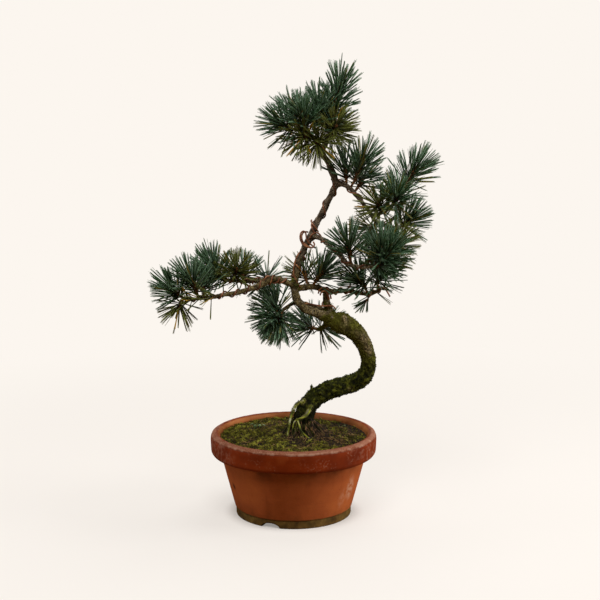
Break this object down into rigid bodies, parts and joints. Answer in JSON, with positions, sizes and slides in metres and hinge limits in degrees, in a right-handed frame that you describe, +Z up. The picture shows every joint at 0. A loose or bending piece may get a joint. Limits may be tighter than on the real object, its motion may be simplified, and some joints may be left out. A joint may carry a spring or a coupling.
{
  "type": "bonsai tree in a pot",
  "caption": "Bonsai pine with a curved trunk, wired branches and sprays of needles, standing in soil in a round clay training pot.",
  "frame": {"origin": "centre of the pot's foot, on the surface that the pot stands on", "axes": "+Z up; -Y is the tree's front; +X is to the right seen from the front, the side to which the trunk swings out"},
  "size_m": [0.3609, 0.21, 0.5751],
  "materials": {
    "terracotta": "unglazed fired clay, brown-red, weathered, with pale worn lip and mossy foot",
    "drain_net": "black plastic mesh",
    "soil": "dark gritty soil, partly under moss",
    "bark": "rough grey-brown plated bark, mossy low down",
    "copper_wire": "annealed copper wire, dulled",
    "young_needles": "blue-green needles with a pale waxy side",
    "old_needles": "olive needles, some yellow"
  },
  "bodies": {
    "root": {"pot": "terracotta", "drain_net": "drain_net", "soil": "soil", "wood": "bark", "wire_left": "copper_wire", "wire_left_back": "copper_wire", "wire_leader": "copper_wire", "wire_mid": "copper_wire", "wire_low": "copper_wire", "spray_crown_apex": "young_needles", "spray_crown_apex_side": "young_needles", "spray_crown_mid": "young_needles", "spray_crown_front": "young_needles", "spray_crown_left": "young_needles", "spray_crown_left_top": "young_needles", "spray_crown_low_left": "old_needles", "spray_crown_low": "old_needles", "spray_crown_right_low": "old_needles", "spray_crown_back": "young_needles", "spray_crown_back_right": "old_needles", "spray_right_near": "young_needles", "spray_right_near_small": "young_needles", "spray_right_near_back": "young_needles", "spray_right_up": "young_needles", "spray_right_centre": "young_needles", "spray_right_centre_back": "young_needles", "spray_right_olive": "old_needles", "spray_right_whorl": "old_needles", "spray_right_low": "young_needles", "spray_mid_up": "young_needles", "spray_mid_top": "young_needles", "spray_mid_olive": "old_needles", "spray_mid_front": "young_needles", "spray_mid_low": "young_needles", "spray_mid_back": "young_needles", "spray_low_up": "young_needles", "spray_low_hang": "young_needles", "spray_low_tip": "young_needles", "spray_inner_up": "young_needles", "spray_inner_olive": "old_needles", "spray_left_end": "young_needles", "spray_left_end_under": "old_needles", "spray_left_second": "young_needles", "spray_left_second_back": "young_needles", "spray_left_third": "young_needles", "spray_left_third_front": "young_needles", "spray_left_olive": "old_needles", "spray_left_fourth": "young_needles", "spray_left_inner": "young_needles", "spray_under_front": "young_needles", "spray_under_top": "young_needles", "spray_under_low": "young_needles", "spray_under_left": "young_needles", "spray_inside_left": "young_needles", "spray_inside_right": "young_needles"}
  },
  "joints": []
}
